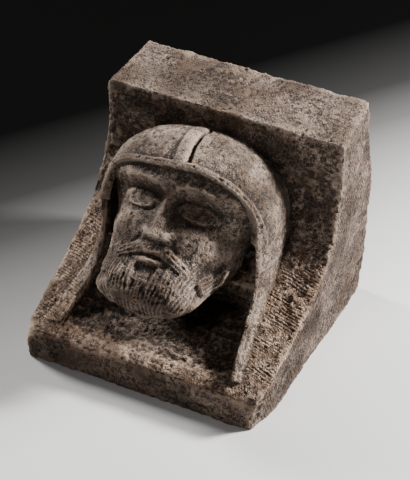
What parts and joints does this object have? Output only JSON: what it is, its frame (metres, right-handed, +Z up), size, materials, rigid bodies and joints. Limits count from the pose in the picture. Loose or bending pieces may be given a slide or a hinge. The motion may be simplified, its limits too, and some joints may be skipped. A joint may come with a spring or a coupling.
{
  "type": "stone corbel",
  "caption": "Carved stone corbel with a flat bearing bed, a hollow front and a bearded head in a hood, made to be built into a wall.",
  "frame": {"origin": "middle of the flat face that goes against the wall", "axes": "+Z up, +Y into the wall (outward normal of the wall face), -Y out into the room, +X to the right as seen from the front. The corbel stands as it is built in. The picture shows it laid down on its wall face."},
  "size_m": [0.2904, 0.255, 0.289],
  "materials": {
    "stone": "granular dark brown-grey stone, tooled and weathered"
  },
  "bodies": {
    "root": {"corbel": "stone"}
  },
  "joints": []
}
